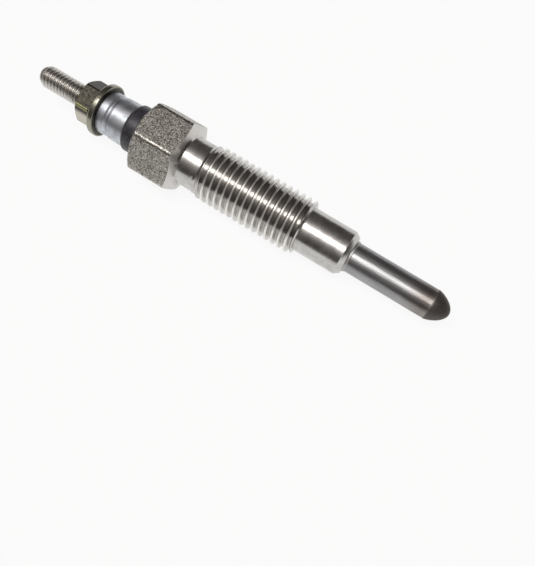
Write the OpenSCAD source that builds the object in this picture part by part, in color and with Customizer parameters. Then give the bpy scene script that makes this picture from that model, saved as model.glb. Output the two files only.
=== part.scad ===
// Diesel glow plug, lying on one flat of its hexagon. Sizes are in millimetres.
// X runs along the axis towards the heated tip and Z is up.
// The origin is on the axis, where the sealing taper of the nose begins.

/* [Hexagon] */
// Width across the flats
hex_af = 12; // [11.5:0.5:14]
// Length with the turned cones at both ends
hex_len = 9.4; // [8:0.1:12]
// How far each corner is turned down
hex_corner_cut = 0.13; // [0.05:0.01:0.25]
// Slope of the turned cone on the terminal side, from the end face
hex_cone_deg = 30; // [15:1:35]
// Diameter of the flat end face on the terminal side
hex_face_d = 8.8; // [8.7:0.1:9.6]
// Slope of the turned cone on the thread side
foot_cone_deg = 24; // [10:1:35]
// Step between the end of that cone and the neck
foot_step = 0.15; // [0.05:0.05:0.6]

/* [Thread and nose] */
// Outside diameter of the engine thread
thread_d = 10; // [9.5:0.5:12]
// Pitch of the engine thread
thread_pitch = 1.25; // [1:0.25:1.5]
// Length of the full thread
thread_len = 18; // [12:0.1:24]
// Turns over which the thread rises out of the neck
runin_turns = 1.5; // [1:0.5:4]
// Diameter of the plain neck under the hexagon
neck_d = 8.8; // [8:0.1:9.2]
// Length of the plain neck
neck_len = 3.05; // [1:0.05:4]
// Diameter of the smooth nose
nose_d = 7.9; // [7:0.1:8.4]
// Length of the smooth nose
nose_len = 7.9; // [4:0.1:14]
// Length of the sealing taper
taper_len = 0.8; // [0.5:0.1:1.5]
// Wall of the nose around the tube at the small end of the taper
taper_lip = 0.65; // [0.3:0.05:0.8]
// Length of the thin collar around the tube beyond the taper
collar_len = 0.45; // [0.2:0.05:1]
// Wall of that collar
collar_wall = 0.15; // [0.1:0.05:0.25]

/* [Heater tube] */
// Outside diameter of the tube
tube_d = 5.3; // [5:0.1:5.4]
// Wall of the tube
tube_wall = 0.6; // [0.4:0.05:0.7]
// Length of the tube beyond the taper
tube_reach = 18.4; // [16:0.1:26]
// Length of the tube pressed into the housing
tube_hold = 14; // [8:0.5:18]
// Length of the domed tip
tip_len = 3.2; // [2.6:0.1:4]
// Thickness of the closed tip
tip_wall = 0.8; // [0.6:0.1:1.2]
// Fullness of the dome, 1 is a parabola and 2 an ellipse
tip_fullness = 1.35; // [1:0.05:2]

/* [Terminal] */
// Outside diameter of the terminal thread
stud_d = 4; // [3.5:0.1:4.5]
// Pitch of the terminal thread
stud_pitch = 0.7; // [0.5:0.05:0.8]
// Length of the terminal thread inside the spacer bush
stud_run = 1.2; // [0.8:0.1:3]
// Length of stud that stands clear of the nut
stud_free = 9.4; // [6:0.1:14]
// Diameter of the stud's end face
stud_end_d = 2.7; // [2:0.1:3.2]
// Length of the chamfer at the stud's end
stud_end_len = 1; // [0.4:0.1:1.6]
// Width across the flats of the nut
nut_af = 7; // [6.5:0.1:8]
// Height of the nut with its flange
nut_len = 4.5; // [4:0.1:6]
// Diameter of the nut's end face
nut_face_d = 6.8; // [6:0.1:6.9]
// Slope of the turned cone on the nut, from its end face
nut_cone_deg = 28; // [15:1:35]
// How far each corner of the nut is turned down
nut_corner_cut = 0.09; // [0.05:0.01:0.2]
// How far the nut is turned on its thread
nut_turn = 18; // [0:1:59]
// Diameter of the flange
flange_d = 9.5; // [8.8:0.1:10]
// Height of the flange's rim
flange_rim = 1.1; // [0.5:0.1:1.4]
// Height of the slope between the hexagon and the rim
flange_slope = 0.5; // [0.3:0.1:1.4]
// Diameter of the flange's seat
flange_seat_d = 8; // [7.4:0.1:8.6]
// How far the seat stands out from the rim
flange_dish = 0.1; // [0.05:0.05:0.5]
// Diameter of the spacer bush beside the insulator
bush_d = 7.9; // [7:0.1:8.4]
// Diameter of the spacer bush beside the nut
bush_top_d = 7.7; // [7:0.1:8]
// Length of the spacer bush
bush_len = 5.55; // [4:0.05:7]
// Length of the bush between the nut and its rolled groove
bush_rim_len = 1.2; // [0.5:0.1:1.5]
// Width of the rolled groove
groove_len = 1.3; // [0.8:0.1:2]
// Depth of the rolled groove
groove_depth = 0.32; // [0.1:0.02:0.5]
// Diameter of the insulator's flange
ring_d = 8.6; // [8:0.1:9]
// Thickness of the insulator's flange
ring_len = 2.1; // [1.4:0.1:3]
// Edge radius of the insulator, the bush and the flange
edge_round = 0.35; // [0.1:0.05:0.45]

/* [Inside] */
// Diameter of the counterbore under the insulator
counter_d = 6.4; // [5.8:0.1:6.8]
// Depth of the insulator's spigot in the counterbore
spigot_len = 3; // [2:0.1:4]
// Bore of the housing around the rod
core_bore_d = 4.8; // [4.4:0.1:5]
// Diameter of the rod in the housing
rod_d = 3.5; // [3.1:0.1:3.8]
// Diameter of the rod in the tube
rod_in_d = 2.6; // [2.3:0.1:2.8]
// Length of rod between its step and the tube
rod_step_gap = 1; // [0.5:0.1:2]
// Length of the seal in the tube's mouth
seal_len = 2.2; // [1.5:0.1:4]
// Wire of both coils
wire_d = 0.4; // [0.25:0.05:0.5]
// Mean diameter of both coils
coil_d = 2.6; // [2.3:0.1:2.8]
// Turns of the heating coil
heat_turns = 10; // [6:1:12]
// Pitch of the heating coil
heat_pitch = 0.6; // [0.55:0.05:0.7]
// Turns of the control coil
control_turns = 8; // [5:1:10]
// Pitch of the control coil
control_pitch = 0.8; // [0.6:0.05:0.9]
// Turns of the control coil that grip the rod
grip_turns = 2; // [1:1:3]
// Length of the lead from the heating coil to the tip
lead_len = 1.7; // [1.5:0.1:2.4]

/* [Fits] */
// Clearance between round pieces that fit together
fit_gap = 0.02; // [0.01:0.01:0.05]

/* [Hidden] */

$fn = 96;
// Steps in a quarter round, in the groove, in the dome, in a turn of wire and round the wire
edge_steps = 4;
groove_steps = 10;
dome_steps = 14;
turn_steps = 14;
wire_sides = 8;
// Steps in a turn of the engine thread and of the terminal thread
thread_steps = 24;
stud_steps = 18;
// Metric thread form in shares of the pitch: depth, flat on the crest, and cutter outside the crest
thread_depth = 0.61;
crest_flat = 0.125;
thread_over = 0.06;
// Slope of the thread's flanks, and the turns past a free end in which the cutter leaves it
flank_deg = 30;
leave_turns = 0.6;
// How far a cut runs past the face that it opens
cut_over = 1;
// The fill ends at this angle round the dome, where it leaves room for the lead
fill_end_deg = 80;

// Stations along the axis, from the sealing taper to the stud
thread_end_x = -nose_len;
thread_x = thread_end_x - thread_len;
runin_x = thread_x - runin_turns * thread_pitch;
hex_end_x = runin_x - neck_len;
hex_x = hex_end_x - hex_len;
ring_x = hex_x - ring_len;
bush_x = ring_x - bush_len;
nut_x = bush_x - nut_len;
stud_x = nut_x - stud_free;

// Stations from the sealing taper to the tip
tip_x = taper_len + tube_reach;
dome_x = tip_x - tip_len;
inner_tip_x = tip_x - tip_wall;
tube_x = taper_len - tube_hold;

// Stations of the coils, counted back from the tip
lead_end_x = inner_tip_x - wire_d / 2;
heat_end_x = lead_end_x - lead_len;
coil_joint_x = heat_end_x - heat_turns * heat_pitch;
control_x = coil_joint_x - control_turns * control_pitch;
rod_shoulder_x = control_x - wire_d;
rod_end_x = control_x + grip_turns * control_pitch;

// Radii that several pieces share
tube_r = tube_d / 2;
bore_r = tube_r - tube_wall;
coil_r = coil_d / 2;
wire_r = wire_d / 2;
coil_out_r = coil_r + wire_r;
// The straight steps of a turn cut inside the round by this much
turn_sag = coil_r * (1 - cos(180 / turn_steps));
tail_r = coil_r - wire_r - turn_sag - fit_gap;
// The ends of the two coils meet at the angle of one step, and the weld fills the wedge
weld_gap = wire_d * tan(180 / turn_steps) + fit_gap;
thread_chamfer = thread_pitch / 3;

// The counterbore holds the spigot and, under it, the round seal
seal_ring_r = (counter_d - rod_d) / 4 - fit_gap;
seal_ring_mid_r = (counter_d + rod_d) / 4;
spigot_x = hex_x + spigot_len;
counter_x = spigot_x + 2 * seal_ring_r;

// A body turned about the X axis, from [station, radius] points
module turned(profile) {
    rotate([0, 90, 0])
        rotate_extrude()
            polygon([for (p = profile) [p[1], p[0]]]);
}

// A hexagon bar along X with flats above and below
module hex_bar(across_flats, from_x, to_x) {
    translate([from_x, 0, 0])
        rotate([0, 90, 0])
            rotate([0, 0, 30])
                cylinder(d = across_flats / cos(30), h = to_x - from_x, $fn = 6);
}

// Points of a quarter round from the outside at x to the face at x, which looks along dir
function round_edge(x, r, radius, dir) =
    [for (i = [0:edge_steps])
        let (a = 90 * i / edge_steps)
        [x - dir * radius * (1 - sin(a)), r - radius * (1 - cos(a))]];

function reverse(list) = [for (i = [len(list) - 1:-1:0]) list[i]];

// Points of the dome from its full radius at x to the axis
function dome(x, length, r) =
    [for (i = [0:dome_steps])
        let (a = 90 * i / dome_steps)
        [x + length * pow(sin(a), 2 / tip_fullness), r * cos(a)]];

// Faces of a closed sweep with the given number of sides, from ring 0 to the last one
function sweep_faces(last, sides) = concat(
    [[for (k = [0:sides - 1]) k], [for (k = [sides - 1:-1:0]) last * sides + k]],
    [for (i = [0:last - 1], k = [0:sides - 1])
        let (
            here = i * sides,
            next = here + sides,
            k2 = (k + 1) % sides
        )
        each [[here + k, next + k, here + k2], [here + k2, next + k, next + k2]]]);

// A wire swept along a path of [station, radius, angle] points about the X axis
module wire(path) {
    last = len(path) - 1;
    points = [for (p = path) [p[0], p[1] * cos(p[2]), p[1] * sin(p[2])]];
    rings = [for (i = [0:last])
        let (
            along = points[min(i + 1, last)] - points[max(i - 1, 0)],
            outward = [0, cos(path[i][2]), sin(path[i][2])],
            side = cross(along, outward),
            v = side / norm(side),
            u = cross(v, along) / norm(along)
        )
        for (k = [0:wire_sides - 1])
            let (a = 360 * k / wire_sides)
            points[i] + wire_r * (u * cos(a) + v * sin(a))];
    polyhedron(points = rings, faces = sweep_faces(last, wire_sides));
}

// A cutter for a thread about the X axis. At station x it is clear of the plain radius,
// it sinks to its full depth over the fading turns, and it runs on along dir.
module thread_cutter(x, dir, crest_r, plain_r, pitch, turns, fade_turns, steps) {
    root_r = crest_r - thread_depth * pitch;
    clear_r = plain_r + thread_over * pitch;
    reach = (thread_depth + thread_over) * pitch;
    root_half = (1 - crest_flat) / 2 * pitch - thread_depth * pitch * tan(flank_deg);
    top_half = root_half + reach * tan(flank_deg);
    form = [[-root_half, 0], [root_half, 0], [top_half, reach], [-top_half, reach]];
    last = ceil(turns * steps);
    rings = [for (i = [0:last], p = form)
        let (
            t = i / steps,
            a = 360 * dir * t,
            r = root_r + (clear_r - root_r) * max(0, 1 - t / fade_turns) + p[1]
        )
        [x + dir * (t * pitch + p[0]), r * cos(a), r * sin(a)]];
    polyhedron(points = rings, faces = sweep_faces(last, len(form)));
}

// Path of a coil of the given turns from station x, with a gap before its first turn
function coil_path(x, turns, pitch, gap) =
    [for (i = [0:turns * turn_steps])
        let (t = max(i / turn_steps, gap / (2 * PI * coil_r)))
        [x + t * pitch, coil_r, 360 * t]];

module housing() {
    corner_r = hex_af / 2 / cos(30) - hex_corner_cut;
    foot_r = neck_d / 2 + foot_step;
    cone_end_x = hex_x + (corner_r - hex_face_d / 2) * tan(hex_cone_deg);
    foot_x = hex_end_x - (corner_r - foot_r) * tan(foot_cone_deg);
    collar_x = taper_len + collar_len;
    color("silver")
        difference() {
            union() {
                intersection() {
                    hex_bar(hex_af, hex_x, hex_end_x);
                    turned([[hex_x, 0], [hex_x, hex_face_d / 2], [cone_end_x, corner_r],
                            [foot_x, corner_r], [hex_end_x, foot_r], [hex_end_x, 0]]);
                }
                turned([[foot_x, 0], [foot_x, neck_d / 2], [runin_x, neck_d / 2],
                        [thread_x, thread_d / 2], [thread_end_x - thread_chamfer, thread_d / 2],
                        [thread_end_x, thread_d / 2 - thread_chamfer],
                        [thread_end_x, nose_d / 2], [0, nose_d / 2],
                        [taper_len, tube_r + taper_lip], [taper_len, tube_r + collar_wall],
                        [collar_x, tube_r + collar_wall], [collar_x, 0]]);
            }
            thread_cutter(runin_x, 1, thread_d / 2, neck_d / 2, thread_pitch,
                          runin_turns + thread_len / thread_pitch + leave_turns, runin_turns, thread_steps);
            turned([[hex_x - cut_over, 0], [hex_x - cut_over, counter_d / 2],
                    [counter_x, counter_d / 2], [counter_x, core_bore_d / 2],
                    [tube_x, core_bore_d / 2], [tube_x, tube_r + fit_gap],
                    [collar_x + cut_over, tube_r + fit_gap], [collar_x + cut_over, 0]]);
        }
}

module heater_tube() {
    color("gray")
        turned(concat(
            [[tube_x, bore_r], [tube_x, tube_r]],
            dome(dome_x, tip_len, tube_r),
            reverse(dome(dome_x, tip_len - tip_wall, bore_r))));
}

module heating_coil() {
    // The lead leaves the last turn and curls in to the axis
    lead = [for (i = [1:turn_steps])
        let (t = i / turn_steps)
        [heat_end_x + lead_len * t, coil_r * pow(1 - t, 2), 360 * (heat_turns + t / 2)]];
    color("goldenrod")
        rotate([360 * control_turns, 0, 0])
            wire(concat(coil_path(coil_joint_x, heat_turns, heat_pitch, weld_gap), lead));
}

module control_coil() {
    color("darkkhaki")
        wire(coil_path(control_x, control_turns, control_pitch, 0));
}

module magnesia_fill() {
    shell_r = bore_r - fit_gap;
    room_r = coil_out_r + fit_gap;
    fill_x = tube_x + seal_len;
    lead_room_x = heat_end_x + wire_r;
    front_x = dome_x + (tip_len - tip_wall) * pow(sin(fill_end_deg), 2 / tip_fullness);
    color("white") {
        turned(concat(
            [[fill_x, rod_in_d / 2 + fit_gap], [fill_x, shell_r]],
            [for (p = dome(dome_x, tip_len - tip_wall, shell_r)) if (p[0] < front_x) p],
            [[front_x, wire_r + fit_gap], [lead_room_x, room_r],
             [rod_shoulder_x, room_r], [rod_shoulder_x, rod_in_d / 2 + fit_gap]]));
        turned([[rod_end_x + fit_gap, 0], [rod_end_x + fit_gap, tail_r],
                [heat_end_x - wire_r, tail_r], [heat_end_x - wire_r, 0]]);
    }
}

module tube_seal() {
    color("dimgray")
        turned([[tube_x, rod_in_d / 2 + fit_gap], [tube_x, bore_r - fit_gap],
                [tube_x + seal_len, bore_r - fit_gap],
                [tube_x + seal_len, rod_in_d / 2 + fit_gap]]);
}

module centre_rod() {
    step_x = tube_x - rod_step_gap;
    run_x = bush_x + stud_run;
    color("lightsteelblue")
        difference() {
            turned([[stud_x, 0], [stud_x, stud_end_d / 2], [stud_x + stud_end_len, stud_d / 2],
                    [spigot_x, stud_d / 2], [spigot_x, rod_d / 2], [step_x, rod_d / 2],
                    [step_x, rod_in_d / 2], [rod_shoulder_x, rod_in_d / 2], [rod_shoulder_x, tail_r],
                    [rod_end_x, tail_r], [rod_end_x, 0]]);
            thread_cutter(run_x, -1, stud_d / 2, stud_d / 2, stud_pitch,
                          (run_x - stud_x) / stud_pitch + leave_turns, 1, stud_steps);
        }
}

module o_ring() {
    color("black")
        rotate([0, 90, 0])
            rotate_extrude()
                translate([seal_ring_mid_r, spigot_x + seal_ring_r])
                    circle(r = seal_ring_r);
}

module insulator() {
    hole_r = stud_d / 2 + fit_gap;
    color("darkslategray")
        turned(concat(
            [[ring_x, hole_r]],
            reverse(round_edge(ring_x, ring_d / 2, edge_round, -1)),
            [[hex_x, ring_d / 2], [hex_x, counter_d / 2 - fit_gap],
             [spigot_x, counter_d / 2 - fit_gap], [spigot_x, hole_r]]));
}

module spacer_bush() {
    hole_r = stud_d / 2 + fit_gap;
    groove_x = bush_x + bush_rim_len;
    body_r = (bush_top_d + bush_d) / 4;
    groove = [for (i = [0:groove_steps])
        let (t = i / groove_steps)
        [groove_x + groove_len * t,
         bush_top_d / 2 + (body_r - bush_top_d / 2) * t - groove_depth * (1 - cos(360 * t)) / 2]];
    color("gainsboro")
        turned(concat(
            [[bush_x, hole_r], [bush_x, bush_top_d / 2]],
            groove,
            round_edge(ring_x, bush_d / 2, edge_round, 1),
            [[ring_x, hole_r]]));
}

module terminal_nut() {
    top_r = nut_face_d / 2;
    corner_r = nut_af / 2 / cos(30) - nut_corner_cut;
    cone_end_x = nut_x + (corner_r - top_r) * tan(nut_cone_deg);
    rim_end_x = bush_x - flange_dish;
    rim_x = rim_end_x - flange_rim;
    slope_x = rim_x - flange_slope;
    color("olivedrab")
        rotate([nut_turn, 0, 0])
            difference() {
                union() {
                    intersection() {
                        hex_bar(nut_af, nut_x, rim_end_x);
                        turned([[nut_x, 0], [nut_x, top_r], [cone_end_x, corner_r],
                                [rim_end_x, corner_r], [rim_end_x, 0]]);
                    }
                    turned(concat(
                        [[slope_x, 0], [slope_x, top_r - edge_round]],
                        reverse(round_edge(rim_x, flange_d / 2, edge_round, -1)),
                        [[rim_end_x, flange_d / 2], [bush_x, flange_seat_d / 2], [bush_x, 0]]));
                }
                turned([[nut_x - cut_over, 0], [nut_x - cut_over, stud_d / 2 + fit_gap],
                        [bush_x + cut_over, stud_d / 2 + fit_gap], [bush_x + cut_over, 0]]);
            }
}

housing();
heater_tube();
heating_coil();
control_coil();
magnesia_fill();
tube_seal();
centre_rod();
o_ring();
insulator();
spacer_bush();
terminal_nut();
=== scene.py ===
from math import cos, hypot, pi, radians, sin, tan

import bmesh
import bpy
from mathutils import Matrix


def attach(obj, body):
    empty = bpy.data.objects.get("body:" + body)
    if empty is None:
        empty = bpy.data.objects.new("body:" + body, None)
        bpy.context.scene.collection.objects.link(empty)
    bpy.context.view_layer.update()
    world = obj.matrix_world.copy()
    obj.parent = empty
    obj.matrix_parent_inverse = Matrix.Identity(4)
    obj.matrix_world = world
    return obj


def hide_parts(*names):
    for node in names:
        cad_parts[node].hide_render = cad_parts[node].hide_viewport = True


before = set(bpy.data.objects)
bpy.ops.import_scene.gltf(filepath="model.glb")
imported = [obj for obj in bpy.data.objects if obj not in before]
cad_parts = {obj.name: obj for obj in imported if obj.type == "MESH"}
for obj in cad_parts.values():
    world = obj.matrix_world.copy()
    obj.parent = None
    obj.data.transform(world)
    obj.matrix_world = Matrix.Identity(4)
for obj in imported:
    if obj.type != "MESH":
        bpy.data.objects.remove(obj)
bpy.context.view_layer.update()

mm = 0.001
sides = 128  # segments round every turned piece
screwSteps = 96  # segments round every thread
mergeGap = 0.0005 * mm  # vertices closer than this become one
rimGap = 0.002 * mm  # an open edge this close to a given x lies on that rim
bridgeGap = 0.01  # gap between two rims to bridge, because in one plane they can be bridged crosswise
crispAngle = 35  # degrees, past which an edge stays crisp
overrun = 1.0  # length by which a bar or a tool runs past the piece it is cut to


# Small tools for the work in edit mode


def editMode(on):
    bpy.ops.object.mode_set(mode="EDIT" if on else "OBJECT")


def deselectAll():
    bpy.ops.object.select_all(action="DESELECT")


def activate(piece):
    deselectAll()
    piece.select_set(True)
    bpy.context.view_layer.objects.active = piece


def startedAs(name):
    # the primitive just added, with its place applied to its mesh
    piece = bpy.context.object
    piece.name = piece.data.name = name
    bpy.ops.object.transform_apply()
    return piece


def applyModifier(piece, kind, **settings):
    activate(piece)
    modifier = piece.modifiers.new(kind.lower(), kind)
    for key, value in settings.items():
        setattr(modifier, key, value)
    bpy.ops.object.modifier_apply(modifier=modifier.name)


def pick(piece, kind, test):
    # goes into edit mode and selects the edges or faces that pass the test
    activate(piece)
    editMode(True)
    bpy.ops.mesh.select_mode(type=kind)
    bpy.ops.mesh.select_all(action="DESELECT")
    bm = bmesh.from_edit_mesh(piece.data)
    for item in bm.edges if kind == "EDGE" else bm.faces:
        if test(item):
            item.select_set(True)
    bmesh.update_edit_mesh(piece.data)


def pickRims(piece, places):
    # selects the open edges at each x
    pick(piece, "EDGE", lambda edge: edge.is_boundary and any(
        abs((edge.verts[0].co.x + edge.verts[1].co.x) / 2 - x * mm) < rimGap for x in places))


def bridgeRims(piece, *places):
    pickRims(piece, places)
    bpy.ops.mesh.bridge_edge_loops()
    editMode(False)


def capRims(piece, *places):
    for x in places:
        pickRims(piece, [x])
        bpy.ops.mesh.edge_face_add()
        editMode(False)


def joinInto(piece, *others):
    activate(piece)
    for other in others:
        other.select_set(True)
    bpy.ops.object.join()


def finishSurface(piece):
    # normals outwards, smooth across the turned faces, crisp at the machined edges
    activate(piece)
    editMode(True)
    bpy.ops.mesh.select_mode(type="EDGE")
    bpy.ops.mesh.select_all(action="SELECT")
    bpy.ops.mesh.remove_doubles(threshold=mergeGap)
    bpy.ops.mesh.normals_make_consistent(inside=False)
    bpy.ops.mesh.select_all(action="DESELECT")
    bpy.ops.mesh.edges_select_sharp(sharpness=radians(crispAngle))
    bpy.ops.mesh.mark_sharp()
    editMode(False)
    bpy.ops.object.shade_smooth()
    applyModifier(piece, "WEIGHTED_NORMAL", keep_sharp=True, weight=80)


def place(piece, node):
    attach(piece, "root")
    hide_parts(node)


# Lathe, hexagon bar and thread


def turned(name, steps):
    # one ring is pulled along the axis and scaled at every (x, radius) step, as on a lathe
    deselectAll()
    x, r = steps[0]
    bpy.ops.mesh.primitive_circle_add(
        vertices=sides, radius=r * mm, location=(x * mm, 0, 0), rotation=(0, pi / 2, 0))
    piece = startedAs(name)
    editMode(True)
    bpy.ops.mesh.select_mode(type="EDGE")
    bpy.ops.mesh.select_all(action="SELECT")
    for nextX, nextR in steps[1:]:
        bpy.ops.mesh.extrude_edges_move(TRANSFORM_OT_translate={"value": ((nextX - x) * mm, 0, 0)})
        if nextR == 0:
            bpy.ops.mesh.merge(type="CENTER")  # the pole of a dome
            break
        scale = nextR / r
        bpy.ops.transform.resize(value=(1, scale, scale), center_override=(nextX * mm, 0, 0))
        x, r = nextX, nextR
    editMode(False)
    return piece


def beside(x, r, offsets):
    # steps beside a corner, each (along, out) from it
    return [(x + along, r + out) for along, out in offsets]


def roundedEdge(x, r, radius, side, count=6):
    # steps over a rounded edge: side -1 comes up from a left face, side 1 goes down to a right one
    angles = [pi / 2 * i / count for i in range(count + 1)]
    steps = [(x - side * radius * (1 - sin(a)), r - radius * (1 - cos(a))) for a in angles]
    return steps if side > 0 else steps[::-1]


def hexBar(name, acrossFlats, fromX, toX, corner, cornerSteps):
    # a hexagon bar along the axis, its six long edges rounded
    deselectAll()
    bpy.ops.mesh.primitive_cylinder_add(
        vertices=6, radius=acrossFlats / 2 / cos(pi / 6) * mm, depth=(toX - fromX) * mm,
        location=((fromX + toX) / 2 * mm, 0, 0), rotation=(0, pi / 2, 0))
    piece = startedAs(name)
    pick(piece, "EDGE", lambda edge: abs(edge.verts[0].co.x - edge.verts[1].co.x) > mm)
    bpy.ops.mesh.bevel(offset=corner * mm, segments=cornerSteps, profile=0.5, affect="EDGES")
    editMode(False)
    return piece


# half a pitch of the rolled thread from root to crest, as (share of the pitch, share of the depth)
threadForm = [(0.0, 0.0), (0.06, 0.03), (0.12, 0.14), (0.35, 0.82), (0.4, 0.93), (0.445, 0.985), (0.5, 1.0)]
threadDepth = 0.61  # share of the pitch


def threaded(name, crestR, pitch, fromX, toX, grooveX):
    # one vertex is pulled along a pitch of the form, screwed round the axis and cut square at both ends;
    # the groove crosses the top of the piece at grooveX
    deselectAll()
    depth = threadDepth * pitch
    half = [(share * pitch, crestR - depth * (1 - height)) for share, height in threadForm]
    profile = half + [(pitch - x, r) for x, r in half[-2::-1]]
    turnsBefore = int((grooveX - fromX) / pitch) + 2  # with turns to spare, which are cut off
    startX = grooveX - turnsBefore * pitch
    bpy.ops.mesh.primitive_plane_add(size=0.1 * mm, location=(startX * mm, 0, profile[0][1] * mm))
    piece = startedAs(name)
    editMode(True)
    bpy.ops.mesh.select_mode(type="VERT")
    bpy.ops.mesh.select_all(action="SELECT")
    bpy.ops.mesh.merge(type="CENTER")
    for (x, r), (nextX, nextR) in zip(profile, profile[1:]):
        bpy.ops.mesh.extrude_vertices_move(
            TRANSFORM_OT_translate={"value": ((nextX - x) * mm, 0, (nextR - r) * mm)})
    editMode(False)
    turns = int((toX - startX) / pitch) + 3
    applyModifier(piece, "SCREW", axis="X", angle=2 * pi, screw_offset=pitch * mm, iterations=turns,
                  steps=screwSteps, render_steps=screwSteps)
    editMode(True)
    bpy.ops.mesh.select_all(action="SELECT")
    bpy.ops.mesh.remove_doubles(threshold=mergeGap)
    for x, cut in ((fromX, "clear_inner"), (toX, "clear_outer")):
        bpy.ops.mesh.select_all(action="SELECT")
        bpy.ops.mesh.bisect(plane_co=(x * mm, 0, 0), plane_no=(1, 0, 0), threshold=0.0001 * mm, **{cut: True})
    editMode(False)
    return piece


def limitRadius(piece, rule):
    # moves every vertex to the radius that the rule gives for its (x, radius)
    for vertex in piece.data.vertices:
        x, y, z = vertex.co / mm
        radius = hypot(y, z)
        scale = rule(x, radius) / radius
        vertex.co.y *= scale
        vertex.co.z *= scale


# Materials


def linear(code):
    channels = [int(code[i:i + 2], 16) / 255 for i in (1, 3, 5)]
    return (*[c / 12.92 if c <= 0.04045 else ((c + 0.055) / 1.055) ** 2.4 for c in channels], 1)


def add(tree, kind, settings, links, stops=()):
    # one node with its settings and links, and the stops of a colour ramp as (place, colour)
    new = tree.nodes.new(kind)
    for key, value in settings.items():
        if isinstance(key, str) and hasattr(new, key):
            setattr(new, key, value)
        else:
            new.inputs[key].default_value = value
    for key, source in links.items():
        tree.links.new(source, new.inputs[key])
    for i, (spot, colour) in enumerate(stops):
        marks = new.color_ramp.elements
        mark = marks[i] if i < 2 else marks.new(spot)
        mark.position = spot
        mark.color = linear(colour) if isinstance(colour, str) else colour
    return new


def newMaterial(name, constants):
    # a material with its constants set on the shader, and the coordinates that its patterns read
    material = bpy.data.materials.new(name)
    material.use_nodes = True
    tree = material.node_tree
    shader = tree.nodes["Principled BSDF"]
    for key, value in constants.items():
        shader.inputs[key].default_value = value
    where = add(tree, "ShaderNodeTexCoord", {}, {}).outputs["Object"]
    return material, tree, shader, where


def perMm(size):
    # the scale of a texture whose grain has this size in mm
    return 1 / (size * mm)


def zone(tree, where, edges):
    # a mask that is full past every edge; an edge is (measure, start, full) in mm,
    # measured along x or y, or as r out from the axis
    apart = add(tree, "ShaderNodeSeparateXYZ", {}, {"Vector": where})
    flat = add(tree, "ShaderNodeCombineXYZ", {}, {"Y": apart.outputs["Y"], "Z": apart.outputs["Z"]})
    reach = add(tree, "ShaderNodeVectorMath", {"operation": "LENGTH"}, {0: flat.outputs["Vector"]})
    measures = {"x": apart.outputs["X"], "y": apart.outputs["Y"], "r": reach.outputs["Value"]}
    mask = None
    for measure, start, full in edges:
        step = add(tree, "ShaderNodeMapRange", {"From Min": start * mm, "From Max": full * mm},
                   {"Value": measures[measure]}).outputs["Result"]
        if mask:
            step = add(tree, "ShaderNodeMath", {"operation": "MULTIPLY"}, {0: mask, 1: step}).outputs[0]
        mask = step
    return mask


def relief(tree, shader, vector, size, depth, detail=3.0, strength=0.6):
    # a fine unevenness, its size and depth in mm, over what the shader's normal already has
    noise = add(tree, "ShaderNodeTexNoise", {"Scale": perMm(size), "Detail": detail}, {"Vector": vector})
    bump = add(tree, "ShaderNodeBump", {"Strength": strength, "Distance": depth * mm},
               {"Height": noise.outputs["Fac"]})
    normal = shader.inputs["Normal"]
    if normal.is_linked:
        tree.links.new(normal.links[0].from_socket, bump.inputs["Normal"])
    tree.links.new(bump.outputs["Normal"], normal)
    return noise.outputs["Fac"], bump


# Bright nickel on turned steel: a warm silver mirror with faint rings from the lathe, smoothest on the rolled
# thread, with its crests paler as a painted highlight and its roots greyer as painted shade, duller on the
# cones of the hexagon and on the collar
onThread = [("x", -27.8, -25.9), ("x", -7.99, -8.0)]
nickel = {
    "tones": [(0.3, "#b4b1ad"), (0.62, "#c9c7c4")], "cloud": 1.6, "sheen": (0.17, 0.32),
    "rings": 0.16, "ringDepth": 0.0035, "ringStretch": 0.01, "grain": 0.4, "grainDepth": 0.01,
    "zones": {"thread": onThread, "root": onThread + [("r", 4.36, 4.26)],
              "crest": onThread + [("r", 4.82, 4.92)],
              "cone": [("r", 5.02, 5.1)], "collar": [("x", 0.78, 0.84)]},
    # the crest colour is a painted highlight and the root colour is painted shade
    "colours": {"root": "#bab6b2", "crest": "#efece7", "cone": "#d3d0cc"},
    "rougher": {"thread": -0.065, "crest": 0.117, "cone": 0.13, "collar": 0.26},
}
nickelPlate, tree, shader, where = newMaterial("nickel_plated_turned_steel", {"Metallic": 1.0})
cloud = add(tree, "ShaderNodeTexNoise", {"Scale": perMm(nickel["cloud"]), "Detail": 4.0, "Roughness": 0.6},
            {"Vector": where}).outputs["Fac"]
masks = {part: zone(tree, where, edges) for part, edges in nickel["zones"].items()}
tone = add(tree, "ShaderNodeValToRGB", {}, {"Fac": cloud}, nickel["tones"]).outputs["Color"]
for part, code in nickel["colours"].items():
    # inputs 6 and 7 of a mix are its two colours, and output 2 is the mixed one
    tone = add(tree, "ShaderNodeMix", {"data_type": "RGBA", 7: linear(code)},
               {0: masks[part], 6: tone}).outputs[2]
tree.links.new(tone, shader.inputs["Base Color"])
rough = add(tree, "ShaderNodeMapRange", {"To Min": nickel["sheen"][0], "To Max": nickel["sheen"][1]},
            {"Value": cloud}).outputs["Result"]
for part, more in nickel["rougher"].items():
    rough = add(tree, "ShaderNodeMath", {"operation": "MULTIPLY_ADD", 1: more},
                {0: masks[part], 2: rough}).outputs[0]
tree.links.new(rough, shader.inputs["Roughness"])
lathe = add(tree, "ShaderNodeMapping", {"Scale": (1, nickel["ringStretch"], nickel["ringStretch"])},
            {"Vector": where})
relief(tree, shader, lathe.outputs["Vector"], nickel["rings"], nickel["ringDepth"])
relief(tree, shader, where, nickel["grain"], nickel["grainDepth"])

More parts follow.
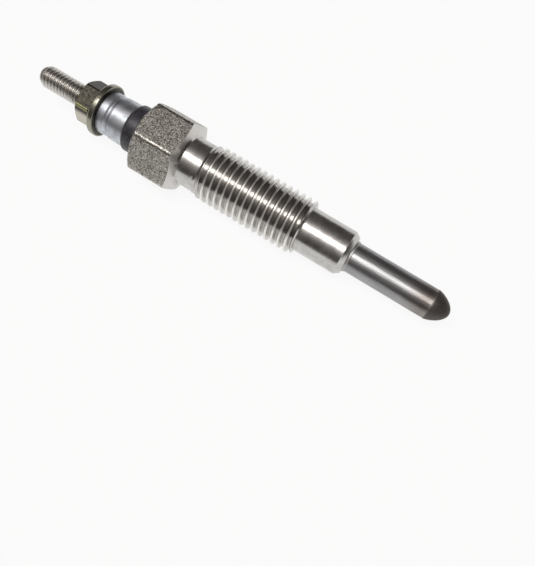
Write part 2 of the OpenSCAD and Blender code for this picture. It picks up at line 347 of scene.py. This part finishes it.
# Nickel over the rough skin of drawn hexagon bar: a grey sparkle of fine crystals, drawn coarser to show,
# smoother on the rounded corners
skin = {
    "tones": [(0.22, "#322e2b"), (0.52, "#99948c"), (0.8, "#f4efe6")], "crystal": 0.1,
    "pit": 0.09, "pitDepth": 0.11, "corner": [("r", 6.66, 6.72)],
    "pitStrength": (0.9, 0.25), "sheen": (0.34, 0.3),  # on the flats and on the corners
}
nickelSkin, tree, shader, where = newMaterial("nickel_plated_drawn_bar", {"Metallic": 1.0})
crystals = add(tree, "ShaderNodeTexVoronoi", {"Scale": perMm(skin["crystal"])}, {"Vector": where})
tone = add(tree, "ShaderNodeValToRGB", {}, {"Fac": crystals.outputs["Color"]}, skin["tones"])
tree.links.new(tone.outputs["Color"], shader.inputs["Base Color"])
_, pitBump = relief(tree, shader, where, skin["pit"], skin["pitDepth"])
corner = zone(tree, where, skin["corner"])
for (flat, edge), socket in ((skin["pitStrength"], pitBump.inputs["Strength"]),
                             (skin["sheen"], shader.inputs["Roughness"])):
    level = add(tree, "ShaderNodeMapRange", {"To Min": flat, "To Max": edge}, {"Value": corner})
    tree.links.new(level.outputs["Result"], socket)

# Nickel-chromium alloy tube, drawn and swaged: satin streaks along it, a straw heat colour, a lighter band
# at the seam that is a painted highlight, and a dull grey-brown tip
heater = {
    "length": [("x", 0, 20)],
    # the pale stop at 0.785 is a painted highlight along the seam near the tip
    "tones": [(0.55, "#a9a8a9"), (0.74, "#958d88"), (0.785, "#a19b95"), (0.8, "#716b67"), (0.97, "#635e5a")],
    "streak": 0.34, "streakDepth": 0.035, "streakStretch": 0.08, "shade": (0.5, 1.25),
    "tip": [("x", 15.6, 16.0)], "sheen": (0.37, 0.58),  # on the tube and on its tip
}
heaterAlloy, tree, shader, where = newMaterial("nickel_chromium_alloy_tube", {"Metallic": 1.0})
drawn = add(tree, "ShaderNodeMapping", {"Scale": (heater["streakStretch"], 1, 1)}, {"Vector": where})
streaks, _ = relief(tree, shader, drawn.outputs["Vector"], heater["streak"], heater["streakDepth"],
                    detail=4.0, strength=0.7)
heat = add(tree, "ShaderNodeValToRGB", {}, {"Fac": zone(tree, where, heater["length"])}, heater["tones"])
shade = add(tree, "ShaderNodeMapRange", {"To Min": heater["shade"][0], "To Max": heater["shade"][1]},
            {"Value": streaks})
tone = add(tree, "ShaderNodeMix", {"data_type": "RGBA", "blend_type": "MULTIPLY", 0: 1.0},
           {6: heat.outputs["Color"], 7: shade.outputs["Result"]})
tree.links.new(tone.outputs[2], shader.inputs["Base Color"])
rough = add(tree, "ShaderNodeMapRange", {"To Min": heater["sheen"][0], "To Max": heater["sheen"][1]},
            {"Value": zone(tree, where, heater["tip"])})
tree.links.new(rough.outputs["Result"], shader.inputs["Roughness"])

# Rolled steel stud with thin zinc: light grey crests, darker towards the roots as painted shade in the thread
stud = {"tones": [(0.0, "#a39e98"), (0.8, "#d3d0cb")], "height": [("r", 1.6, 1.95)],
        "grain": 0.25, "grainDepth": 0.006}
studSteel, tree, shader, where = newMaterial("zinc_plated_rolled_steel", {"Metallic": 1.0, "Roughness": 0.36})
tone = add(tree, "ShaderNodeValToRGB", {}, {"Fac": zone(tree, where, stud["height"])}, stud["tones"])
tree.links.new(tone.outputs["Color"], shader.inputs["Base Color"])
relief(tree, shader, where, stud["grain"], stud["grainDepth"])

# Blue-passivated zinc on the turned bush: a cold bright silver with soft rings
blue = {"tones": [(0.32, "#b0b5bb"), (0.6, "#d0d3d8")], "cloud": 1.1,
        "rings": 0.2, "ringDepth": 0.004, "ringStretch": 0.02, "grain": 0.4, "grainDepth": 0.012}
blueZinc, tree, shader, where = newMaterial("blue_passivated_zinc", {"Metallic": 1.0, "Roughness": 0.42})
cloud = add(tree, "ShaderNodeTexNoise", {"Scale": perMm(blue["cloud"]), "Detail": 4.0}, {"Vector": where})
tone = add(tree, "ShaderNodeValToRGB", {}, {"Fac": cloud.outputs["Fac"]}, blue["tones"])
tree.links.new(tone.outputs["Color"], shader.inputs["Base Color"])
lathe = add(tree, "ShaderNodeMapping", {"Scale": (1, blue["ringStretch"], blue["ringStretch"])},
            {"Vector": where})
relief(tree, shader, lathe.outputs["Vector"], blue["rings"], blue["ringDepth"])
relief(tree, shader, where, blue["grain"], blue["grainDepth"])

# Olive-passivated zinc on the nut: a grainy grey-green metal; its flat on the −y side painted pale as a
# painted reflection of the floor, the corner there painted yellow-green as a painted glint, the rim of the
# flange painted lighter as a painted highlight, and smoother
onNutHex = ("x", -49.59, -49.6)
olive = {
    "tones": [(0.35, "#2d2b28"), (0.62, "#4f4c43")], "cloud": 0.5, "grain": 0.3, "grainDepth": 0.03,
    "zones": {"paintedFloorReflection": [onNutHex, ("y", -3.2, -3.4)],
              "corner": [onNutHex, ("y", -2.49, -2.5), ("r", 3.86, 3.93)], "rim": [("r", 4.4, 4.65)]},
    # painted reflection of the floor on the −y flat, painted glint on its corner, painted highlight on the
    # flange rim
    "colours": {"paintedFloorReflection": "#c8c2b6", "corner": "#a09e74", "rim": "#9a9889"},
    "sheen": (0.38, 0.26),  # on the nut and on the rim
}
oliveZinc, tree, shader, where = newMaterial("olive_passivated_zinc", {"Metallic": 1.0})
cloud = add(tree, "ShaderNodeTexNoise", {"Scale": perMm(olive["cloud"]), "Detail": 5.0, "Roughness": 0.65},
            {"Vector": where})
masks = {part: zone(tree, where, edges) for part, edges in olive["zones"].items()}
tone = add(tree, "ShaderNodeValToRGB", {}, {"Fac": cloud.outputs["Fac"]}, olive["tones"]).outputs["Color"]
for part, code in olive["colours"].items():
    tone = add(tree, "ShaderNodeMix", {"data_type": "RGBA", 7: linear(code)},
               {0: masks[part], 6: tone}).outputs[2]
tree.links.new(tone, shader.inputs["Base Color"])
rough = add(tree, "ShaderNodeMapRange", {"To Min": olive["sheen"][0], "To Max": olive["sheen"][1]},
            {"Value": masks["rim"]})
tree.links.new(rough.outputs["Result"], shader.inputs["Roughness"])
relief(tree, shader, where, olive["grain"], olive["grainDepth"], detail=4.0, strength=0.8)

# Moulded phenolic: blue-black and matt, with the faint cloud of its filler
mould = {"tones": [(0.35, "#29272b"), (0.65, "#47444a")], "filler": 0.35, "fillerDepth": 0.008}
phenolic, tree, shader, where = newMaterial("moulded_phenolic", {"Roughness": 0.38})
filler, _ = relief(tree, shader, where, mould["filler"], mould["fillerDepth"], detail=4.0)
tone = add(tree, "ShaderNodeValToRGB", {}, {"Fac": filler}, mould["tones"])
tree.links.new(tone.outputs["Color"], shader.inputs["Base Color"])

# The inner pieces keep their solids: dull brownish drawn wire, chalky packed magnesia powder
# and soft black moulded rubber with a faint bloom
inside = {
    "drawn_resistance_wire": {
        "nodes": ["heating_coil", "control_coil"], "shader": {"Metallic": 1.0, "Roughness": 0.35},
        "tones": [(0.3, "#8d7f6b"), (0.7, "#a8987f")], "grain": 0.2, "detail": 3.0},
    "packed_magnesia": {
        "nodes": ["magnesia_fill"], "shader": {"Roughness": 0.9},
        "tones": [(0.3, "#dedbd2"), (0.7, "#eeece6")], "grain": 0.15, "detail": 4.0},
    "moulded_seal_rubber": {
        "nodes": ["tube_seal", "o_ring"], "shader": {"Roughness": 0.6},
        "tones": [(0.3, "#1c1c1d"), (0.7, "#2b2b2c")], "grain": 0.4, "detail": 3.0},
}
for name, look in inside.items():
    material, tree, shader, where = newMaterial(name, look["shader"])
    grain = add(tree, "ShaderNodeTexNoise", {"Scale": perMm(look["grain"]), "Detail": look["detail"]},
                {"Vector": where})
    tone = add(tree, "ShaderNodeValToRGB", {}, {"Fac": grain.outputs["Fac"]}, look["tones"])
    tree.links.new(tone.outputs["Color"], shader.inputs["Base Color"])
    for node in look["nodes"]:
        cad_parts[node].data.materials.clear()
        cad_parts[node].data.materials.append(material)
print("materials ready")


# Housing: drawn hexagon, neck, rolled thread, nose and bore in one closed piece

body = {
    "hexFrom": -40.225, "hexTo": -30.825, "acrossFlats": 12.0, "corner": 0.46, "cornerSteps": 6,
    "faceR": 4.4, "faceSlope": 30, "footR": 4.55, "footSlope": 24, "clearR": 7.6,
    "neckR": 4.4, "neckFillet": [(0.15, 0), (0.03, 0.04), (0, 0.1)], "neckGap": 0.5,
    "runIn": -27.775, "fullThread": -25.9, "runInCurve": 0.7, "threadEnd": -7.9, "endChamfer": 0.42,
    "threadR": 5.0, "pitch": 1.25,
    "noseR": 3.95, "noseFillet": [(bridgeGap, 0.07), (0.03, 0.03), (0.1, 0)],
    "noseMiddle": -4.0, "noseEdge": 0.08,
    "taperEnd": 0.8, "taperR": 3.3, "taperEdge": [(-0.05, 0.05), (0, -0.03)],
    "collarEnd": 1.25, "collarR": 2.8, "collarFoot": [(0, 0.06), (0.05, 0)],
    "collarEdge": [(-0.08, 0), (0, -0.06)],
    "tubeBoreR": 2.67, "tubeSeat": -13.2, "coreBoreR": 2.4, "counterX": -35.815, "counterR": 3.2,
}
housing = hexBar("housing_body", body["acrossFlats"], body["hexFrom"] - overrun, body["hexTo"] + overrun,
                 body["corner"], body["cornerSteps"])

# the turned cones at both ends of the hexagon
faceCone = (body["clearR"] - body["faceR"]) * tan(radians(body["faceSlope"]))
footCone = (body["clearR"] - body["footR"]) * tan(radians(body["footSlope"]))
cones = turned("cones", [(body["hexFrom"], body["faceR"]), (body["hexFrom"] + faceCone, body["clearR"]),
                         (body["hexTo"] - footCone, body["clearR"]), (body["hexTo"], body["footR"])])
capRims(cones, body["hexFrom"], body["hexTo"])
finishSurface(cones)
finishSurface(housing)
applyModifier(housing, "BOOLEAN", operation="INTERSECT", solver="EXACT", object=cones)
bpy.data.objects.remove(cones)
housing.data.materials.append(nickelPlate)
housing.data.materials.append(nickelSkin)
for face in housing.data.polygons:
    face.material_index = 1 if abs(face.normal.x) < 0.05 else 0  # the bar's skin is left on the flats
pick(housing, "FACE", lambda face: abs(face.normal.x) > 0.99)
bpy.ops.mesh.delete(type="ONLY_FACE")  # both end faces open for the neck and the bore
editMode(False)
print("hexagon cut")

thread = threaded("thread", body["threadR"], body["pitch"], body["runIn"], body["threadEnd"],
                  body["runIn"] + body["pitch"] / 4)


def threadRule(x, radius):
    # crest and groove leave the neck together, and the end is chamfered
    share = (x - body["runIn"]) / (body["fullThread"] - body["runIn"])
    rise = min(max(share, 0), 1) ** body["runInCurve"]
    chamferR = body["threadR"] - max(0, x - body["threadEnd"] + body["endChamfer"])
    return min(body["neckR"] + (radius - body["neckR"]) * rise, chamferR)


limitRadius(thread, threadRule)
neck = turned("neck", [(body["runIn"] - body["neckGap"], body["neckR"])]
              + beside(body["hexTo"], body["neckR"], body["neckFillet"]) + [(body["hexTo"], body["footR"])])
nose = turned("nose", beside(body["threadEnd"], body["noseR"], body["noseFillet"])
              + [(body["noseMiddle"], body["noseR"]), (-body["noseEdge"], body["noseR"]),
                 (0.0, body["noseR"] - body["noseEdge"])]
              + beside(body["taperEnd"], body["taperR"], body["taperEdge"])
              + beside(body["taperEnd"], body["collarR"], body["collarFoot"])
              + beside(body["collarEnd"], body["collarR"], body["collarEdge"])
              + [(body["collarEnd"], body["tubeBoreR"]), (body["tubeSeat"], body["tubeBoreR"]),
                 (body["tubeSeat"], body["coreBoreR"]), (body["counterX"], body["coreBoreR"]),
                 (body["counterX"], body["counterR"]), (body["hexFrom"], body["counterR"]),
                 (body["hexFrom"], body["faceR"])])
for part in (thread, neck, nose):
    part.data.materials.append(nickelPlate)
joinInto(housing, thread, neck, nose)
bridgeRims(housing, body["threadEnd"], body["threadEnd"] + bridgeGap)
bridgeRims(housing, body["runIn"] - body["neckGap"], body["runIn"])  # the thread runs out on the neck
finishSurface(housing)
place(housing, "housing")
print("housing built")


# Heater tube: drawn tube with a seam and a bullet-shaped tip

tube = {"mouth": -13.2, "r": 2.65, "wall": 0.6, "domeFrom": 16.0, "tip": 19.2, "tipWall": 0.8,
        "fullness": 1.35, "rings": 20, "seam": 15.75, "seamForm": [(-0.2, 0), (-0.08, -0.035), (0.04, 0)]}


def dome(length, r):
    angles = [pi / 2 * i / tube["rings"] for i in range(1, tube["rings"])]
    steps = [(tube["domeFrom"] + length * sin(a) ** (2 / tube["fullness"]), r * cos(a)) for a in angles]
    return [(tube["domeFrom"], r)] + steps + [(tube["domeFrom"] + length, 0)]


domeLength = tube["tip"] - tube["domeFrom"]
boreR = tube["r"] - tube["wall"]
sheath = turned("heater_sheath", [(tube["mouth"], boreR), (tube["mouth"], tube["r"])]
                + beside(tube["seam"], tube["r"], tube["seamForm"]) + dome(domeLength, tube["r"]))
bore = turned("bore", [(tube["mouth"], boreR)] + dome(domeLength - tube["tipWall"], boreR))
joinInto(sheath, bore)
finishSurface(sheath)
sheath.data.materials.append(heaterAlloy)
place(sheath, "heater_tube")
print("heater tube built")


# Centre rod: the terminal stud with its rolled thread, and the stepped rod down to the coil

rod = {"end": -61.775, "endR": 1.35, "chamfer": 1.0, "threadTo": -47.5, "fade": -46.675,
       "r": 2.0, "pitch": 0.7, "spigot": -37.225, "rodR": 1.75, "step": -14.2, "innerR": 1.3,
       "shoulder": 3.7, "tail": 5.7, "tailR": 1.047}
terminal = threaded("terminal_rod", rod["r"], rod["pitch"], rod["end"], rod["threadTo"],
                    rod["fade"] + rod["pitch"] / 4)


def studRule(x, radius):
    chamferR = rod["endR"] + (rod["r"] - rod["endR"]) * (x - rod["end"]) / rod["chamfer"]
    return min(radius, chamferR)


limitRadius(terminal, studRule)
shaft = turned("shaft", [(rod["threadTo"] + bridgeGap, rod["r"]), (rod["spigot"], rod["r"]),
                         (rod["spigot"], rod["rodR"]), (rod["step"], rod["rodR"]),
                         (rod["step"], rod["innerR"]), (rod["shoulder"], rod["innerR"]),
                         (rod["shoulder"], rod["tailR"]),
                         (rod["tail"], rod["tailR"])])  # the coil grips the tail
joinInto(terminal, shaft)
capRims(terminal, rod["end"], rod["tail"])
bridgeRims(terminal, rod["threadTo"], rod["threadTo"] + bridgeGap)
finishSurface(terminal)
terminal.data.materials.append(studSteel)
place(terminal, "centre_rod")
print("terminal rod built")


# Insulator ring with its spigot

collar = {"from": -42.325, "to": -40.225, "r": 4.3, "edge": 0.35, "lowEdge": 0.12,
          "spigotTo": -37.225, "spigotR": 3.18, "chamfer": 0.2, "holeR": 2.02, "holeEndR": 2.021}
insulator = turned("insulator_ring", [(collar["from"], collar["holeR"])]
                   + roundedEdge(collar["from"], collar["r"], collar["edge"], -1)
                   + roundedEdge(collar["to"], collar["r"], collar["lowEdge"], 1)
                   + [(collar["to"], collar["spigotR"]),
                      (collar["spigotTo"] - collar["chamfer"], collar["spigotR"]),
                      (collar["spigotTo"], collar["spigotR"] - collar["chamfer"]),
                      (collar["spigotTo"], collar["holeEndR"])])
bridgeRims(insulator, collar["from"], collar["spigotTo"])
finishSurface(insulator)
insulator.data.materials.append(phenolic)
place(insulator, "insulator")
print("insulator built")


# Spacer bush with its rolled groove

bush = {"from": -47.875, "to": -42.325, "topR": 3.85, "r": 3.95, "rim": 1.2, "groove": 1.3, "depth": 0.32,
        "rings": 16, "edge": 0.35, "topEdge": 0.12, "holeR": 2.02, "holeEndR": 2.021}
midR = (bush["topR"] + bush["r"]) / 2
grooveSteps = []
for i in range(bush["rings"] + 1):
    share = i / bush["rings"]
    hollow = bush["depth"] * (1 - cos(2 * pi * share)) / 2
    grooveSteps.append((bush["from"] + bush["rim"] + bush["groove"] * share,
                        bush["topR"] + (midR - bush["topR"]) * share - hollow))
spacer = turned("spacer_bush_spool", [(bush["from"], bush["holeR"])]
                + roundedEdge(bush["from"], bush["topR"], bush["topEdge"], -1) + grooveSteps
                + roundedEdge(bush["to"], bush["r"], bush["edge"], 1) + [(bush["to"], bush["holeEndR"])])
bridgeRims(spacer, bush["from"], bush["to"])
finishSurface(spacer)
spacer.data.materials.append(blueZinc)
place(spacer, "spacer_bush")
print("spacer bush built")


# Flanged nut

nut = {"from": -52.375, "to": -47.875, "acrossFlats": 7.0, "corner": 0.24, "cornerSteps": 4, "turn": 18,
       "faceR": 3.4, "faceSlope": 28, "clearR": 5.2, "flangeR": 4.75, "rimFrom": -49.075, "rimTo": -47.975,
       "slope": 0.5, "slopeR": 3.0, "edge": 0.35, "lowEdge": 0.12, "seatR": 4.0,
       "holeR": 2.02, "countersink": 0.25}
flangeNut = hexBar("flange_nut", nut["acrossFlats"], nut["from"] - overrun, nut["rimTo"],
                   nut["corner"], nut["cornerSteps"])
editMode(True)
bpy.ops.mesh.select_all(action="SELECT")
bpy.ops.transform.rotate(value=-radians(nut["turn"]), orient_axis="X", center_override=(0, 0, 0))
editMode(False)
finishSurface(flangeNut)
faceCone = (nut["clearR"] - nut["faceR"]) * tan(radians(nut["faceSlope"]))
coneTo = nut["rimTo"] + overrun
cone = turned("cone", [(nut["from"], nut["faceR"]), (nut["from"] + faceCone, nut["clearR"]),
                       (coneTo, nut["clearR"])])
flangeFrom = nut["rimFrom"] - nut["slope"]
flange = turned("flange", [(flangeFrom, nut["slopeR"])]
                + roundedEdge(nut["rimFrom"], nut["flangeR"], nut["edge"], -1)
                + roundedEdge(nut["rimTo"], nut["flangeR"], nut["lowEdge"], 1)
                + [(nut["to"], nut["seatR"])])
holeFrom = nut["from"] - overrun
holeTo = nut["to"] + overrun
hole = turned("hole", [(holeFrom, nut["holeR"] + nut["countersink"] + overrun),
                       (nut["from"] + nut["countersink"], nut["holeR"]), (holeTo, nut["holeR"])])
cuts = [(cone, nut["from"], coneTo, "INTERSECT"), (flange, flangeFrom, nut["to"], "UNION"),
        (hole, holeFrom, holeTo, "DIFFERENCE")]
for tool, fromX, toX, operation in cuts:
    capRims(tool, fromX, toX)
    finishSurface(tool)
    applyModifier(flangeNut, "BOOLEAN", operation=operation, solver="EXACT", object=tool)
    bpy.data.objects.remove(tool)
finishSurface(flangeNut)
flangeNut.data.materials.append(oliveZinc)
place(flangeNut, "terminal_nut")
print("nut built")


# Floor, light and camera

# the plug rests on the foot of the hexagon's flat and on the last crest of its thread
rest = {"hexX": -31.47, "hexZ": -6.0, "crestX": -8.32, "crestZ": -5.0, "size": 3000,
        "paper": "#f2f2f0", "white": 0.91}
lean = (rest["crestZ"] - rest["hexZ"]) / (rest["crestX"] - rest["hexX"])
deselectAll()
bpy.ops.mesh.primitive_plane_add(size=rest["size"] * mm)
floor = bpy.context.object
floor.name = "floor"
for vertex in floor.data.vertices:
    vertex.co.z = (rest["hexZ"] + lean * (vertex.co.x / mm - rest["hexX"])) * mm
floorPaper, tree, shader, _ = newMaterial(
    "white_paper_floor", {"Base Color": linear(rest["paper"]), "Roughness": 0.9, "Specular IOR Level": 0.1})
ray = add(tree, "ShaderNodeLightPath", {}, {})
seen = add(tree, "ShaderNodeMath", {"operation": "ADD"},
           {0: ray.outputs["Is Camera Ray"], 1: ray.outputs["Is Glossy Ray"]})
seenAll = add(tree, "ShaderNodeMath", {"operation": "ADD", "use_clamp": True},
              {0: seen.outputs[0], 1: ray.outputs["Is Transmission Ray"]})
share = add(tree, "ShaderNodeMath", {"operation": "MULTIPLY", 1: rest["white"]}, {0: seenAll.outputs[0]})
glow = add(tree, "ShaderNodeEmission", {"Strength": 1.0, "Color": (1, 1, 1, 1)}, {})
mixed = add(tree, "ShaderNodeMixShader", {},
            {0: share.outputs[0], 1: shader.outputs["BSDF"], 2: glow.outputs["Emission"]})
tree.links.new(mixed.outputs["Shader"], tree.nodes["Material Output"].inputs["Surface"])
floor.data.materials.append(floorPaper)

# a dim room, with a glow along the plug around the soft box
room = {"stretch": (0.5, 1, 1), "toBox": (-0.1, -0.19, 0.977), "tint": (1, 0.93, 0.9),
        "levels": [(0.0, 0.082), (0.5, 0.088), (0.64, 0.11), (0.77, 0.165), (0.87, 0.28), (0.94, 0.5),
                   (1.0, 0.9)]}
scene = bpy.context.scene
world = bpy.data.worlds.new("dim_room")
scene.world = world
world.use_nodes = True
tree = world.node_tree
direction = add(tree, "ShaderNodeTexCoord", {}, {}).outputs["Generated"]
stretched = add(tree, "ShaderNodeVectorMath", {"operation": "MULTIPLY", 1: room["stretch"]}, {0: direction})
unit = add(tree, "ShaderNodeVectorMath", {"operation": "NORMALIZE"}, {0: stretched.outputs["Vector"]})
toBox = add(tree, "ShaderNodeVectorMath", {"operation": "DOT_PRODUCT", 1: room["toBox"]},
            {0: unit.outputs["Vector"]})
levels = [(spot, (*[level * channel for channel in room["tint"]], 1)) for spot, level in room["levels"]]
air = add(tree, "ShaderNodeValToRGB", {}, {"Fac": toBox.outputs["Value"]}, levels)
tree.links.new(air.outputs["Color"], tree.nodes["Background"].inputs["Color"])

# one long, narrow soft box above, a little towards the camera
box = {"distance": 600, "towardCamera": 11, "fromX": -368, "toX": 100, "width": 155, "power": 1.6}
lampData = bpy.data.lights.new("soft_box", "AREA")
lampData.shape = "RECTANGLE"
lampData.size = (box["toX"] - box["fromX"]) * mm
lampData.size_y = box["width"] * mm
lampData.energy = box["power"]
lamp = bpy.data.objects.new("soft_box", lampData)
scene.collection.objects.link(lamp)
tilt = radians(box["towardCamera"])
boxX = (box["fromX"] + box["toX"]) / 2
lamp.location = (boxX * mm, -box["distance"] * mm * sin(tilt), box["distance"] * mm * cos(tilt))
lamp.rotation_euler = (tilt, 0, 0)

# the close, wide view of the photo, in mm and degrees
view = {"at": (5.8967, -41.4082, 97.0802), "turn": (18.6464, -2.5733, 32.3374), "lens": 40.682, "sensor": 36,
        "nearest": 1}
cameraData = bpy.data.cameras.new("camera")
cameraData.sensor_width = view["sensor"]
cameraData.lens = view["lens"]
cameraData.clip_start = view["nearest"] * mm
camera = bpy.data.objects.new("camera", cameraData)
scene.collection.objects.link(camera)
camera.location = [value * mm for value in view["at"]]
camera.rotation_euler = [radians(value) for value in view["turn"]]
scene.camera = camera
scene.view_settings.view_transform = "Standard"
print("stage set")
